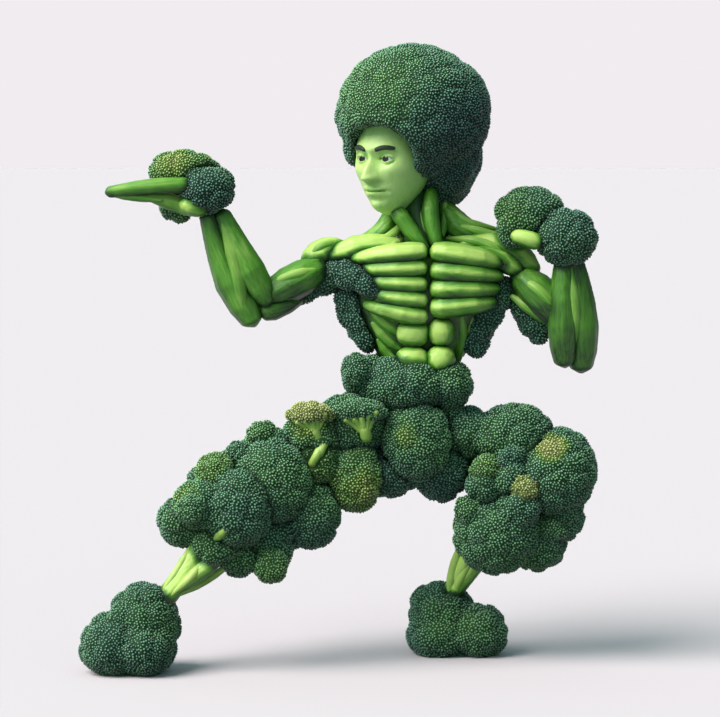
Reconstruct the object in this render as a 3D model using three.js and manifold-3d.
// A standing figure put together from broccoli. Floret heads make its hair, hands, hips, legs and
// feet, and pared strips of stalk lie side by side as its neck, chest, belly and arms.
// Left and right are the figure's own. It faces -Y, +X is its left, and its soles stand on z = 0.

import * as THREE from "three";
import { mergeVertices } from "three/addons/utils/BufferGeometryUtils.js";
import Module from "manifold-3d";

const wasm = await Module();
wasm.setup();

// Driving dimensions, in millimetres.
const gap = 0.5;               // clearance between pieces that touch
const hipHeight = 152;         // floor to the hip line
const torsoLength = 126;       // hip line to the collar
const neckLength = 54;         // collar to the middle of the head
const crownWidth = 101;        // hair, side to side
const crownHeight = 88;        // hair dome, top to bottom
const headWidth = 48;
const headHeight = 72;
const shoulderSpan = 112;      // shoulder joint to shoulder joint
const chestWidth = 100;        // torso core at its widest
const chestDepth = 44;
const waistWidth = 58;
const upperArmLength = 66;     // shoulder to elbow
const forearmLength = 68;      // elbow to wrist
const strideWidth = 194;       // ankle to ankle, along x
const strideDepth = 66;        // ankle to ankle, along y
const ankleHeight = 46;
const stalkRadius = 6.5;         // shin stalk
const chestStripCount = { right: 5, left: 4 };
const chestStripPitch = { right: 11, left: 12.6 };  // one chest strip to the next
const headTurn = -35;          // degrees, towards the figure's right

const FRONT = new THREE.Vector3(0, -1, 0);
const UP = new THREE.Vector3(0, 0, 1);

// Points of the pose. The hips are the middle; every limb hangs on them through these points.
const at = (x, y, z) => new THREE.Vector3(x, y, z);
const near = (point, x, y, z) => point.clone().add(at(x, y, z));
const reach = (point, direction, length) => point.clone().addScaledVector(direction.normalize(), length);
const between = (a, b, share) => a.clone().lerp(b, share);

const hips = at(48, 14, hipHeight);
const collar = near(hips, 12, 3, torsoLength);
const waist = near(hips, 2, 2, 34);
const chest = near(collar, -3, 1, -26);
const headMiddle = near(collar, -24, -7, neckLength);
const shoulderRight = near(collar, 1 - shoulderSpan / 2, 0, -11);
const shoulderLeft = near(collar, 1 + shoulderSpan / 2, 0, -14);
const elbowRight = reach(shoulderRight, at(-58, -18, -34), upperArmLength);
const wristRight = reach(elbowRight, at(-27, -8, 62), forearmLength);
const elbowLeft = reach(shoulderLeft, at(38, -12, -62), upperArmLength + 14);
const wristLeft = reach(elbowLeft, at(-4, -8, 66), forearmLength + 2);
const hipRight = near(hips, -26, -4, 0);
const hipLeft = near(hips, 20, 2, -2);
const ankleRight = at(hips.x - 19 - strideWidth * 0.75, hips.y - 8 - strideDepth * 0.7, ankleHeight);
const ankleLeft = at(ankleRight.x + strideWidth, ankleRight.y + strideDepth, ankleHeight);
const kneeRight = near(between(hipRight, ankleRight, 0.66), -2, -4, 24);
const kneeLeft = near(between(hipLeft, ankleLeft, 0.3), 72, -14, 8);

// Solids. Each shape is a function of how much it is grown, so a neighbour can be cut to fit it.
function solidOf(geometry) {
  geometry.deleteAttribute("normal");
  geometry.deleteAttribute("uv");
  const merged = mergeVertices(geometry, 1e-4);
  const index = merged.index.array;
  const triangles = [];
  for (let i = 0; i < index.length; i += 3) {
    const [a, b, c] = [index[i], index[i + 1], index[i + 2]];
    if (a !== b && b !== c && c !== a) triangles.push(a, b, c);
  }
  const mesh = new wasm.Mesh({
    numProp: 3,
    vertProperties: Float32Array.from(merged.attributes.position.array),
    triVerts: Uint32Array.from(triangles),
  });
  return new wasm.Manifold(mesh);
}

// An egg-shaped lump, its facets fitted to its size.
function lobe(middle, size, turn = new THREE.Quaternion()) {
  return (grow) => {
    const widest = Math.max(...size);
    const detail = widest > 36 ? 3 : widest > 22 ? 2 : 1;
    const ball = new THREE.IcosahedronGeometry(1, detail);
    ball.scale(size[0] + grow, size[1] + grow, size[2] + grow);
    ball.applyQuaternion(turn);
    ball.translate(middle.x, middle.y, middle.z);
    return solidOf(ball);
  };
}

// A spindle bent along a smooth line through points. Its radii are evenly spaced along the line, and
// its section is `wide` across and `thick` towards `face`, both as shares of the radius.
function strip(points, radii, { wide = 1, thick = 1, face = FRONT, sides = 8, rings = 7 } = {}) {
  const line = new THREE.CatmullRomCurve3(points);
  const length = line.getLength();
  const sizes = new THREE.SplineCurve(radii.map((r, i) => new THREE.Vector2(i / (radii.length - 1), r)));
  const radiusAt = (t) => {
    const radius = sizes.getPoint(t).y;
    const end = Math.min(0.35, radius / length);
    const inward = Math.min(1, Math.min(t, 1 - t) / end);
    return radius * Math.sqrt(1 - (1 - inward) ** 2);
  };
  return (grow) => {
    const profile = [];
    for (let k = 0; k <= rings; k += 1) {
      const t = 0.5 - 0.5 * Math.cos((Math.PI * k) / rings);
      const isEnd = k === 0 || k === rings;
      profile.push(new THREE.Vector2(isEnd ? 0 : 1, t));
    }
    const spindle = new THREE.LatheGeometry(profile, sides);
    const position = spindle.attributes.position;
    for (let i = 0; i < position.count; i += 1) {
      const t = position.getY(i);
      const along = line.getTangentAt(t);
      const across = new THREE.Vector3().crossVectors(along, face).normalize();
      const out = new THREE.Vector3().crossVectors(across, along);
      const point = line.getPointAt(t).addScaledVector(along, (2 * t - 1) * grow);
      const radius = radiusAt(t);
      point.addScaledVector(across, position.getX(i) * (radius * wide + grow));
      point.addScaledVector(out, position.getZ(i) * (radius * thick + grow));
      position.setXYZ(i, point.x, point.y, point.z);
    }
    return solidOf(spindle);
  };
}

// The list of pieces. A piece is its shapes joined, less its opening if it has one, and it is cut where
// it meets any piece that stands before it in the list.
const pieces = [];

function piece(region, name, colour, shapes, opening) {
  const grownBy = (grow) => {
    const whole = shapes.map((shape) => shape(grow)).reduce((sum, part) => sum.add(part));
    return opening ? whole.subtract(opening(-grow)) : whole;
  };
  pieces.push({ region, name, colour, grownBy });
}

const FLORET = 0x2f5a36;
const FLORET_BRIGHT = 0x4f7f33;
const STALK = 0x86b043;
const STALK_DARK = 0x3f6a26;

// Face side of the head: a pared block of stalk with a brow, a nose, lips and a chin.
function addHead() {
  const turn = new THREE.Quaternion().setFromAxisAngle(UP, THREE.MathUtils.degToRad(headTurn));
  const inHead = (x, y, z) => at(x, y, z).applyQuaternion(turn).add(headMiddle);
  const half = headWidth / 2;
  const tall = headHeight / 2;
  piece("head", "head", STALK, [
    lobe(inHead(0, 3, 6), [half, half + 4, tall - 6], turn),
    lobe(inHead(0, -4, -14), [half - 5, half - 4, tall - 14], turn),
    lobe(inHead(0, -9, -26), [9, 9, 8], turn),
    strip([inHead(0, -24, 4), inHead(0, -28, -6), inHead(0, -22, -11)], [2.5, 3.5, 4.5, 3], {
      face: FRONT.clone().applyQuaternion(turn),
    }),
  ]);
  const top = near(headMiddle, 16, 6, 32);
  const radius = crownWidth / 2;
  piece("head", "hair_crown", FLORET, [
    lobe(top, [radius, radius - 3, crownHeight / 2]),
    lobe(near(headMiddle, 36, 20, 3), [24, 26, 34]),
    lobe(near(headMiddle, 18, 34, 5), [30, 20, 32]),
    lobe(near(headMiddle, 41, 6, 5), [17, 19, 28]),
    lobe(near(headMiddle, -20, 8, 27), [16, 22, 20]),
    lobe(near(headMiddle, -22, 8, 13), [9, 14, 17]),
  ], lobe(inHead(6, -34, -4), [half + 8, 36, 30], turn));
}

function addNeck() {
  const jaw = near(headMiddle, 14, 8, -22);
  const notch = near(collar, 1, 4 - chestDepth / 2, -8);
  piece("neck", "neck_strip_right", STALK, [
    strip([near(jaw, -16, -8, -2), near(jaw, -9, -15, -12), notch], [3.5, 5, 4.5, 2.6]),
  ]);
  piece("neck", "neck_strip_left", STALK, [
    strip([near(jaw, 14, -4, 4), near(jaw, 12, -13, -12), near(notch, 7, 1, 1)], [3.5, 5.2, 4.5, 2.6]),
  ]);
  piece("neck", "trapezius_right", STALK, [
    strip([near(jaw, -11, 6, -8), near(collar, -28, 2, 6), near(shoulderRight, 8, 2, 7)], [4, 7, 7, 4]),
  ]);
  piece("neck", "trapezius_left", STALK, [
    strip([near(jaw, 18, 8, -4), near(collar, 24, 3, 7), near(shoulderLeft, -4, 2, 10)], [4, 9, 8, 4]),
  ]);
  piece("neck", "neck_core", STALK_DARK, [
    strip([near(jaw, 1, 2, 4), near(collar, 0, 1, -14)], [14, 14, 16, chestDepth / 2 - 3], { rings: 6 }),
  ]);
}

// Chest strips lie against the torso core and fan from the breastbone out to the armpit.
function addChest(side, shoulder) {
  const sign = side === "left" ? 1 : -1;
  const pitch = chestStripPitch[side];
  const radius = pitch / 2 + 0.9;
  const inner = near(chest, sign * gap * 1.5 + 4, -chestDepth / 2 - 4, 21);
  const outer = near(shoulder, -sign * 5, -chestDepth / 4 - 3, 0);
  for (let k = 0; k < chestStripCount[side]; k += 1) {
    const start = near(inner, 0, k * 0.8, -pitch * k);
    const end = near(outer, -sign * k * 2.2, 0, -pitch * 0.66 * k);
    const middle = near(between(start, end, 0.5), sign * 3, -5.5, 0.5);
    piece("torso", `chest_strip_${side}_${k + 1}`, STALK, [
      strip([start, middle, end], [radius, radius, radius * 0.85, 3.2], { thick: 1.25 }),
    ]);
  }
}

function addShoulders() {
  piece("torso", "shoulder_strip_right_1", STALK, [
    strip([near(shoulderRight, 2, -2, 8), near(shoulderRight, -12, -3, 4.5), near(shoulderRight, -27, -6, -5)],
      [5, 8.5, 9, 5]),
  ]);
  piece("torso", "shoulder_strip_right_2", STALK, [
    strip([near(shoulderRight, 39, -9, 9), near(shoulderRight, 12, -11, 8), near(shoulderRight, -10, -8, 0)],
      [5.5, 7.5, 8, 5]),
  ]);
  piece("torso", "shoulder_strip_left_1", STALK, [
    strip([near(shoulderLeft, -36, -6, 13), near(shoulderLeft, -6, -5, 10), near(shoulderLeft, 17, -5, -8)],
      [4, 9, 10.5, 5]),
  ]);
  piece("torso", "shoulder_strip_left_2", STALK, [
    strip([near(shoulderLeft, -36, -14, 6), near(shoulderLeft, -12, -13, 4), near(shoulderLeft, 8, -9, -6)],
      [4, 6.5, 7.5, 4.5]),
  ]);
}

function addBelly() {
  const navel = near(hips, 13, 7 - chestDepth / 2, 57.5);
  const rows = [
    [-10, 9, 11, 9.4],
    [8.5, 10, 9, 9.4],
    [-10.5, -9, 11.5, 9.4],
    [8, -8.5, 9.5, 9.4],
  ];
  rows.forEach(([x, z, wide, tall], i) => {
    piece("torso", `belly_block_${i + 1}`, STALK, [lobe(near(navel, x, 0, z), [wide, 8.5, tall])]);
  });
}

function addTorsoCore() {
  piece("torso", "torso_core", STALK_DARK, [
    strip([waist, between(waist, chest, 0.5), chest, near(collar, 0, 2, 2)],
      [waistWidth * 0.44, waistWidth * 0.5, chestWidth * 0.42, chestWidth * 0.5, chestWidth * 0.44, 18],
      { thick: chestDepth / chestWidth, sides: 14, rings: 10 }),
  ]);
}

// Runs of small florets that close the armpits and the sides of the chest.
function addSideFlorets() {
  const run = (points, radii) => strip(points, radii, { rings: 6 });
  piece("torso", "armpit_florets_right", FLORET, [
    run([near(shoulderRight, -9, -9, -6), near(shoulderRight, 12, 3 - chestDepth / 2, -13),
      near(shoulderRight, 28, -chestDepth / 2, -26)], [8, 10, 8, 5]),
    run([near(shoulderRight, 4, -9, -3), near(shoulderRight, -18, -3, -16), near(shoulderRight, -41, -6, -26)],
      [9, 11, 10, 6]),
  ]);
  piece("torso", "side_florets_right", FLORET, [
    run([near(shoulderRight, 2, 2, -12), near(shoulderRight, 8, -2, -36), near(shoulderRight, 18, -3, -62)],
      [10, 12.5, 10, 6.5]),
  ]);
  piece("torso", "side_florets_left", FLORET, [
    run([near(shoulderLeft, -6, 0, -8), near(shoulderLeft, -18, -5, -32), near(shoulderLeft, -28, -4, -62)],
      [10, 12.5, 10.5, 6.5]),
  ]);
  piece("torso", "underarm_florets_left", FLORET, [
    run([near(shoulderLeft, 0, 2, -12), near(shoulderLeft, 10, 0, -30), near(shoulderLeft, 21, -2, -53)],
      [8, 10.5, 10.5, 7.5]),
  ]);
}

function addArms() {
  const overRight = near(between(shoulderRight, elbowRight, 0.55), 0, -5, 4);
  piece("arm_right", "biceps_right", STALK, [
    strip([near(shoulderRight, -8, -4, -3), overRight, near(elbowRight, 0, -1, 6)], [6, 11, 11, 6]),
  ]);
  piece("arm_right", "underarm_strip_right", STALK, [
    strip([near(shoulderRight, -20, 4, -14), near(elbowRight, 12, 2, 1), near(elbowRight, 0, 1, -4)],
      [5, 7.5, 7.5, 6]),
  ]);
  piece("arm_right", "forearm_right_inner", STALK, [
    strip([near(elbowRight, 8, -2, 2), near(between(elbowRight, wristRight, 0.42), 4.5, -4, 0),
      near(wristRight, 1, 0, 4)], [6, 10, 7.5, 5]),
  ]);
  piece("arm_right", "forearm_right_outer", STALK, [
    strip([near(elbowRight, -3, 1, -12), near(between(elbowRight, wristRight, 0.42), -9, 3, -2),
      near(wristRight, -8, 2, 4)], [7.5, 12, 9, 5.5]),
  ]);
  const overLeft = near(between(shoulderLeft, elbowLeft, 0.5), 4, -8, 6);
  piece("arm_left", "biceps_left", STALK, [
    strip([near(shoulderLeft, 0, -6, -4), overLeft, near(elbowLeft, -8, -2, 26)], [6, 11.5, 12, 6]),
  ]);
  piece("arm_left", "forearm_left_inner", STALK, [
    strip([near(elbowLeft, -7, -4, -1), near(between(elbowLeft, wristLeft, 0.5), -7, -5, 0),
      near(wristLeft, -4, 0, 4)], [7.5, 9.5, 8, 6]),
  ]);
  piece("arm_left", "forearm_left_outer", STALK, [
    strip([near(elbowLeft, 4, 0, -5), near(between(elbowLeft, wristLeft, 0.5), 5.5, 1, 0),
      near(wristLeft, 2, 1, 4)], [8, 11, 9, 6]),
  ]);
}

// Each hand is a fist of florets; cut stems stand for the fingers that show.
function addHands() {
  const fistRight = near(wristRight, -7, -4, 17);
  piece("hand_right", "pointing_stem", STALK, [
    strip([near(fistRight, -10, -8, 3), near(fistRight, -36, -10, 2), near(fistRight, -66, -11, -2)],
      [4.4, 4.6, 4.0, 3.0], { wide: 1.05 }),
  ]);
  piece("hand_right", "thumb_right", STALK, [
    strip([near(fistRight, 0, -4, -12), near(fistRight, -9, -8, -12), near(fistRight, -17, -8, -8)], [5, 5.2, 4]),
  ]);
  piece("hand_right", "hand_right_front_floret", FLORET, [
    lobe(fistRight, [18, 18, 16]),
  ]);
  piece("hand_right", "hand_right_back_floret", FLORET_BRIGHT, [
    lobe(near(fistRight, -15, 12, 11), [23, 19, 14]),
    lobe(near(fistRight, -20, 10, -9), [12, 13, 13]),
  ]);
  const fistLeft = near(wristLeft, -3, -3, 16);
  piece("hand_left", "thumb_left", STALK, [
    strip([near(fistLeft, -16, -6, -4), near(fistLeft, -25, -8, -1), near(fistLeft, -36, -6, 2)], [5.2, 5, 3.8]),
  ]);
  piece("hand_left", "hand_left_front_floret", FLORET, [
    lobe(fistLeft, [20.5, 19, 19.5]),
  ]);
  piece("hand_left", "hand_left_back_floret", FLORET_BRIGHT, [
    lobe(near(fistLeft, -23, 12, 16), [23, 19, 16]),
    lobe(near(fistLeft, -34, 9, 6), [11, 13, 14]),
  ]);
}

function addHips() {
  piece("hips", "hip_floret_front", FLORET, [
    lobe(near(hips, 5, -20, -4), [23, 18, 26]),
  ]);
  piece("hips", "waist_florets", FLORET, [
    lobe(near(hips, -28, -3, 37), [15, 18, 15]),
    lobe(near(hips, -4, -12, 33), [29, 22, 18]),
    lobe(near(hips, 26, -6, 33), [17, 21, 16.5]),
    lobe(near(hips, -4, 15, 32), [34, 20, 22]),
  ]);
  piece("hips", "hip_floret_right", FLORET, [
    lobe(near(hips, -37, -12, 6), [25, 22, 20]),
    lobe(near(hips, -30, 10, -6), [28, 20, 24]),
  ]);
  piece("hips", "hip_florets_under", FLORET, [
    lobe(near(hips, -14, -6, -26), [22, 22, 18]),
    lobe(near(hips, 22, -4, -27), [18, 20, 20]),
    lobe(near(hips, 8, 14, -10), [32, 19, 29]),
  ]);
}

// A leg is one forked stalk under bunches of florets.
function addStalks() {
  const rightShin = near(between(kneeRight, ankleRight, 0.55), 2, 0, -3);
  piece("leg_right", "leg_stalk_right", STALK, [
    strip([near(ankleRight, -2, 0, -8), rightShin, kneeRight, hipRight],
      [stalkRadius, stalkRadius, stalkRadius + 3, stalkRadius + 4, stalkRadius + 2], { rings: 10 }),
    strip([between(ankleRight, rightShin, 0.3), near(rightShin, 9, -3, -3), near(rightShin, 23, -4, 11)],
      [stalkRadius - 1, stalkRadius - 1.5, stalkRadius - 2]),
  ]);
  const leftShin = near(between(kneeLeft, ankleLeft, 0.62), -2, 0, -4);
  piece("leg_left", "leg_stalk_left", STALK, [
    strip([near(ankleLeft, -3, 2, -8), leftShin, kneeLeft, hipLeft],
      [stalkRadius, stalkRadius, stalkRadius + 3, stalkRadius + 4, stalkRadius + 2], { rings: 10 }),
    strip([near(ankleLeft, -1, -1, 2), near(leftShin, -9, -3, 2), near(leftShin, -6, -4, 22)],
      [stalkRadius - 2, stalkRadius - 2, stalkRadius - 3]),
  ]);
}

function addRightLegFlorets() {
  const thigh = between(hipRight, kneeRight, 0.62);
  const groin = between(hipRight, kneeRight, 0.16);
  piece("leg_right", "thigh_right_front", FLORET, [
    lobe(near(thigh, -5, -10, -1), [25, 23, 28]),
  ]);
  piece("leg_right", "thigh_right_inner", FLORET_BRIGHT, [
    lobe(near(groin, 6, -10, -21), [19, 20, 23]),
    lobe(near(groin, -21, -16, -9), [16, 16, 18]),
  ]);
  piece("leg_right", "thigh_right_top", FLORET_BRIGHT, [
    lobe(near(thigh, 20, 3, 29), [19, 19, 17]),
    lobe(near(thigh, -8, 8, 17), [21, 19, 16]),
    lobe(near(thigh, -28, 6, 8), [15, 15, 14]),
    lobe(near(thigh, 4, 18, 1), [hipHeight * 0.2, 18, hipHeight * 0.19]),
  ]);
  piece("leg_right", "thigh_right_under", FLORET, [
    lobe(near(thigh, 20, -2, -24), [hipHeight * 0.12, 19, hipHeight * 0.148]),
    lobe(near(thigh, -10, -6, -40), [20, 19, 22]),
    lobe(near(thigh, 8, 10, -26), [22, 17, 22]),
  ]);
  piece("leg_right", "knee_right", FLORET, [
    lobe(near(kneeRight, 7, -12, 1), [23, 21, 25]),
    lobe(near(kneeRight, -15, -9, 4), [20, 20, 18]),
    lobe(near(kneeRight, -8, 8, 14), [20, 18, 15]),
  ]);
  piece("leg_right", "calf_right", FLORET, [
    lobe(near(kneeRight, -28, 0, -9), [17, 18, 18]),
    lobe(near(kneeRight, -6, -6, -22), [17, 17, 16]),
    lobe(near(kneeRight, 10, 2, -32), [15, 15, 14]),
    lobe(near(kneeRight, 0, 14, -6), [27, 17, 22]),
  ]);
}

function addLeftLegFlorets() {
  const thigh = between(hipLeft, kneeLeft, 0.6);
  piece("leg_left", "thigh_left", FLORET, [
    lobe(near(thigh, 4, 0, 13), [29, 23, 21]),
    lobe(near(thigh, -24, 2, 16), [17, 18, 18]),
    lobe(near(thigh, -15, -14, -17), [12, 14, 12]),
    lobe(near(thigh, 2, -17, -13), [13, 14, 13]),
    lobe(near(thigh, 0, 16, -8), [32, 17, 30]),
  ]);
  piece("leg_left", "calf_left", FLORET, [
    lobe(near(kneeLeft, -36, -2, -41), [29, 26, 27]),
    lobe(near(kneeLeft, -8, 8, -50), [19, 20, 19]),
    lobe(near(kneeLeft, -22, -17, -22), [14, 14, 13]),
  ]);
  piece("leg_left", "knee_left", FLORET_BRIGHT, [
    lobe(near(kneeLeft, 3, -3, 0), [27, 27, 29]),
    lobe(near(kneeLeft, 5, 6, -31), [18, 19, 18]),
  ]);
}

function addFeet() {
  piece("leg_right", "foot_right", FLORET, [
    lobe(near(ankleRight, -9, 3, -15), [23, 25, 27]),
    lobe(near(ankleRight, -29, -4, -28), [20, 26, 21]),
    lobe(near(ankleRight, -9, -4, -29), [22, 27, 20]),
  ]);
  piece("leg_left", "foot_left", FLORET, [
    lobe(near(ankleLeft, -7, 9, -19), [22, 24, 20]),
    lobe(near(ankleLeft, 17, 0, -30), [21, 22, 18]),
    lobe(near(ankleLeft, -8, 5, -32), [22, 25, 19]),
  ]);
}

addHead();
addTorsoCore();
addSideFlorets();
addNeck();
addShoulders();
addChest("right", shoulderRight);
addChest("left", shoulderLeft);
addBelly();
addArms();
addHands();
addStalks();
addHips();
addFeet();
addRightLegFlorets();
addLeftLegFlorets();

// Two boxes meet when they overlap along every axis.
const boxesMeet = (a, b) => [0, 1, 2].every((i) => a.min[i] < b.max[i] && b.min[i] < a.max[i]);

const floor = solidOf(new THREE.BoxGeometry(900, 900, 200).translate(0, 0, -100));
const figure = new THREE.Group();
const regions = {};

for (const [i, item] of pieces.entries()) {
  let body = item.grownBy(0);
  item.reserved = item.grownBy(gap);
  item.box = item.reserved.boundingBox();
  for (const earlier of pieces.slice(0, i)) {
    if (boxesMeet(earlier.box, item.box)) body = body.subtract(earlier.reserved);
  }
  if (item.box.min[2] < 0) body = body.subtract(floor);
  body = body.simplify(0.2).decompose().sort((a, b) => b.volume() - a.volume())[0];

  const { vertProperties, triVerts } = body.getMesh();
  const geometry = new THREE.BufferGeometry();
  geometry.setAttribute("position", new THREE.BufferAttribute(vertProperties, 3));
  geometry.setIndex(new THREE.BufferAttribute(triVerts, 1));
  geometry.computeBoundingBox();
  const middle = geometry.boundingBox.getCenter(new THREE.Vector3());
  geometry.translate(-middle.x, -middle.y, -middle.z);

  const isFloret = item.colour === FLORET || item.colour === FLORET_BRIGHT;
  const material = new THREE.MeshStandardMaterial({ color: item.colour, roughness: isFloret ? 0.8 : 0.45 });
  const mesh = new THREE.Mesh(geometry, material);
  mesh.name = item.name;
  mesh.position.copy(middle);
  regions[item.region] ??= new THREE.Group();
  regions[item.region].add(mesh);
}
Object.values(regions).forEach((region) => figure.add(region));

// The origin is the middle of the footprint, on the floor.
figure.updateMatrixWorld(true);
const footprint = new THREE.Box3().setFromObject(figure).getCenter(new THREE.Vector3());
figure.position.set(-footprint.x, -footprint.y, 0);

export default figure;
